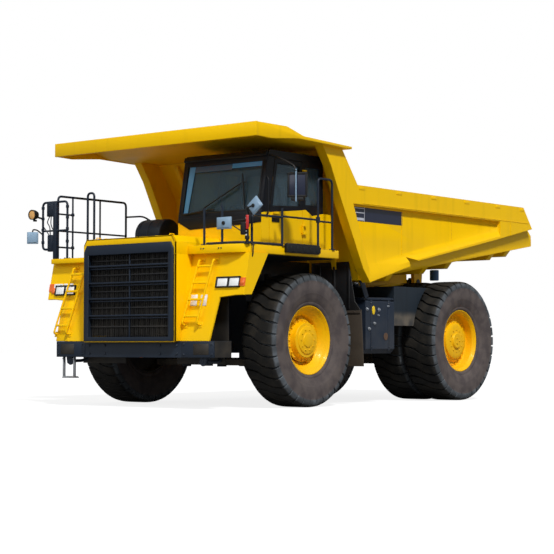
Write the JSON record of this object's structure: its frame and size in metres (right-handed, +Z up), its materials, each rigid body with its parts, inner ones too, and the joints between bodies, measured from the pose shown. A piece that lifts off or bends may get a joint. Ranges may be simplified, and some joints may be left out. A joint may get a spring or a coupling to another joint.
{
  "type": "rigid mining dump truck",
  "caption": "Rigid two-axle mining dump truck with a canopied tipping body, offset cab, front grille, deck with rails and twin rear wheels.",
  "frame": {"origin": "on the ground under the middle of the truck's bounding box", "axes": "+X towards the truck's left (cab side), -Y forwards, +Z up"},
  "size_m": [4.9, 9.355, 4.4],
  "materials": {
    "yellow_paint": "gloss",
    "navy_paint": "satin",
    "tyre_rubber": "matte",
    "rim_paint": "gloss",
    "cast_steel": "satin",
    "ram_chrome": "polished",
    "glass_tint": "gloss",
    "lamp_lens": "gloss",
    "indicator_lens": "gloss",
    "mirror_case": "satin",
    "seat_fabric": "matte",
    "cab_plastic": "matte"
  },
  "bodies": {
    "chassis": {"air_cleaner": "navy_paint", "body_mounts": "navy_paint", "cab_fittings": "cab_plastic", "cab_glass": "glass_tint", "cab_lower": "yellow_paint", "cab_roof": "navy_paint", "cab_upper": "navy_paint", "decks": "yellow_paint", "door_hinges": "navy_paint", "driveline": "cast_steel", "engine_block": "cast_steel", "fenders": "yellow_paint", "frame_brackets": "navy_paint", "frame_towers": "navy_paint", "front_bumper": "navy_paint", "front_lower_arms": "cast_steel", "front_steps": "navy_paint", "front_struts": "cast_steel", "grille": "navy_paint", "headlamps": "lamp_lens", "hood": "yellow_paint", "indicators": "indicator_lens", "ladders": "yellow_paint", "main_frame": "navy_paint", "mirrors": "mirror_case", "radiator_core": "navy_paint", "rails": "navy_paint", "rear_axle": "cast_steel", "rear_guards": "navy_paint", "rear_springs": "ram_chrome", "seat": "seat_fabric", "tanks": "navy_paint"},
    "knuckle_left": {"knuckle_left": "cast_steel"},
    "knuckle_right": {"knuckle_right": "cast_steel"},
    "tie_rod": {"tie_rod": "cast_steel"},
    "wheel_front_left": {"front_tyre_left": "tyre_rubber", "front_rim_left": "rim_paint"},
    "wheel_front_right": {"front_tyre_right": "tyre_rubber", "front_rim_right": "rim_paint"},
    "wheels_rear_left": {"rear_tyres_left": "tyre_rubber", "rear_rims_left": "rim_paint"},
    "wheels_rear_right": {"rear_tyres_right": "tyre_rubber", "rear_rims_right": "rim_paint"},
    "door_left": {"cab_door_left": "yellow_paint", "door_glass_left": "glass_tint"},
    "door_right": {"cab_door_right": "yellow_paint", "door_glass_right": "glass_tint"},
    "rail_gate": {"rail_gate": "navy_paint"},
    "dump_body": {"body_beams": "yellow_paint", "body_floor": "yellow_paint", "body_headboard": "yellow_paint", "body_canopy": "yellow_paint", "body_side_left": "yellow_paint", "body_side_right": "yellow_paint"},
    "hoist_barrels": {"hoist_barrels": "navy_paint"},
    "hoist_middles": {"hoist_middles": "ram_chrome"},
    "hoist_rods": {"hoist_rods": "ram_chrome"}
  },
  "joints": [
    {"name": "steer_left", "type": "hinge", "parent": "chassis", "child": "knuckle_left", "pos_m": [1.2, -2.5675, 1.072], "axis": [0, 0, 1], "range_deg": [-39, 39]},
    {"name": "steer_right", "type": "hinge", "parent": "chassis", "child": "knuckle_right", "pos_m": [-1.2, -2.5675, 1.072], "axis": [0, 0, 1], "range_deg": [-39, 39]},
    {"name": "tie_rod_pivot", "type": "hinge", "parent": "knuckle_left", "child": "tie_rod", "pos_m": [1.2, -2.0475, 0.75], "axis": [0, 0, 1], "range_deg": [-39, 39]},
    {"name": "spin_front_left", "type": "hinge", "parent": "knuckle_left", "child": "wheel_front_left", "pos_m": [1.7575, -2.5675, 1.072], "axis": [1, 0, 0], "continuous": true},
    {"name": "spin_front_right", "type": "hinge", "parent": "knuckle_right", "child": "wheel_front_right", "pos_m": [-1.7575, -2.5675, 1.072], "axis": [1, 0, 0], "continuous": true},
    {"name": "spin_rear_left", "type": "hinge", "parent": "chassis", "child": "wheels_rear_left", "pos_m": [1.54, 1.7325, 1.072], "axis": [1, 0, 0], "continuous": true},
    {"name": "spin_rear_right", "type": "hinge", "parent": "chassis", "child": "wheels_rear_right", "pos_m": [-1.54, 1.7325, 1.072], "axis": [1, 0, 0], "continuous": true},
    {"name": "door_left", "type": "hinge", "parent": "chassis", "child": "door_left", "pos_m": [1.824, -2.5175, 2.845], "axis": [0, 0, 1], "range_deg": [0, 75]},
    {"name": "door_right", "type": "hinge", "parent": "chassis", "child": "door_right", "pos_m": [0.026, -2.5175, 2.845], "axis": [0, 0, -1], "range_deg": [0, 55]},
    {"name": "rail_gate", "type": "hinge", "parent": "chassis", "child": "rail_gate", "pos_m": [2.08, -2.4525, 3], "axis": [0, 0, 1], "range_deg": [0, 75]},
    {"name": "body_tilt", "type": "hinge", "parent": "chassis", "child": "dump_body", "pos_m": [0, 2.7825, 2.2], "axis": [-1, 0, 0], "range_deg": [0, 48]},
    {"name": "hoist_swing", "type": "hinge", "parent": "chassis", "child": "hoist_barrels", "pos_m": [0, 0.7325, 1], "axis": [-1, 0, 0], "range_deg": [0, 21.88]},
    {"name": "hoist_stage", "type": "slide", "parent": "hoist_barrels", "child": "hoist_middles", "axis": [0, -0.1961, 0.9806], "range_m": [0, 0.85978]},
    {"name": "hoist_ram", "type": "slide", "parent": "hoist_middles", "child": "hoist_rods", "axis": [0, -0.1961, 0.9806], "range_m": [0, 0.85978]}
  ],
  "couplings": [
    {"joint": "steer_right", "follows": "steer_left", "ratio": 1},
    {"joint": "tie_rod_pivot", "follows": "steer_left", "ratio": -1},
    {"joint": "rail_gate", "follows": "door_left", "ratio": 1},
    {"joint": "hoist_swing", "follows": "body_tilt", "ratio": 0.45546},
    {"joint": "hoist_stage", "follows": "body_tilt", "m_per_rad": 1.0257},
    {"joint": "hoist_ram", "follows": "body_tilt", "m_per_rad": 1.0257}
  ]
}
